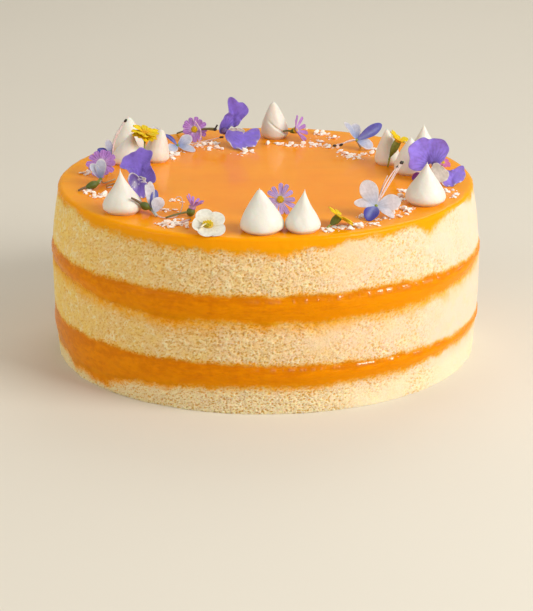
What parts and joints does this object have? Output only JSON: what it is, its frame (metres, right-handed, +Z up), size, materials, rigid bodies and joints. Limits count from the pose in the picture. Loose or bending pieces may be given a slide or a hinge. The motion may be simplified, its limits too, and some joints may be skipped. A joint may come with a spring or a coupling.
{
  "type": "orange blossom cake",
  "caption": "Round layer cake of pale sponge and orange curd with a mirror glaze, ringed on top by meringue kisses, edible flowers and meringue crumbs.",
  "frame": {"origin": "centre of the round underside, on the surface that the cake stands on", "axes": "+Z up, -Y towards the front of the cake as pictured, +X to its right-hand side"},
  "size_m": [0.2317, 0.2318, 0.1204],
  "materials": {
    "sponge": "pale yellow open crumb",
    "curd": "wet glossy orange curd",
    "glaze": "clear orange mirror glaze",
    "meringue": "dry off-white meringue, soft sheen",
    "violet_petal": "velvety violet petal",
    "pale_petal": "thin pale blue-white petal",
    "lilac_petal": "lilac petal",
    "yellow_petal": "bright yellow petal",
    "white_petal": "creamy white petal"
  },
  "bodies": {
    "root": {"butterfly_blossom_back_left": "pale_petal", "butterfly_blossom_back_right": "pale_petal", "butterfly_blossom_behind_left": "pale_petal", "butterfly_blossom_far_left": "pale_petal", "butterfly_blossom_front_left": "pale_petal", "butterfly_blossom_front_right": "pale_petal", "butterfly_blossom_left": "pale_petal", "curd_lower": "curd", "curd_upper": "curd", "daisy_back": "lilac_petal", "daisy_back_left": "lilac_petal", "daisy_front": "lilac_petal", "daisy_front_left": "lilac_petal", "daisy_left": "lilac_petal", "daisy_right": "lilac_petal", "glaze": "glaze", "meringue_back_centre": "meringue", "meringue_back_left_inner": "meringue", "meringue_back_left_middle": "meringue", "meringue_back_left_outer": "meringue", "meringue_back_right_inner": "meringue", "meringue_back_right_middle": "meringue", "meringue_back_right_outer": "meringue", "meringue_front_centre": "meringue", "meringue_front_left": "meringue", "meringue_front_right": "meringue", "meringue_right": "meringue", "sponge_bottom": "sponge", "sponge_middle": "sponge", "sponge_top": "sponge", "violet_back_left": "violet_petal", "violet_left": "violet_petal", "violet_right": "violet_petal", "white_flower": "white_petal", "yellow_flower_back_left": "yellow_petal", "yellow_flower_back_right": "yellow_petal", "yellow_flower_front_right": "yellow_petal"}
  },
  "joints": []
}
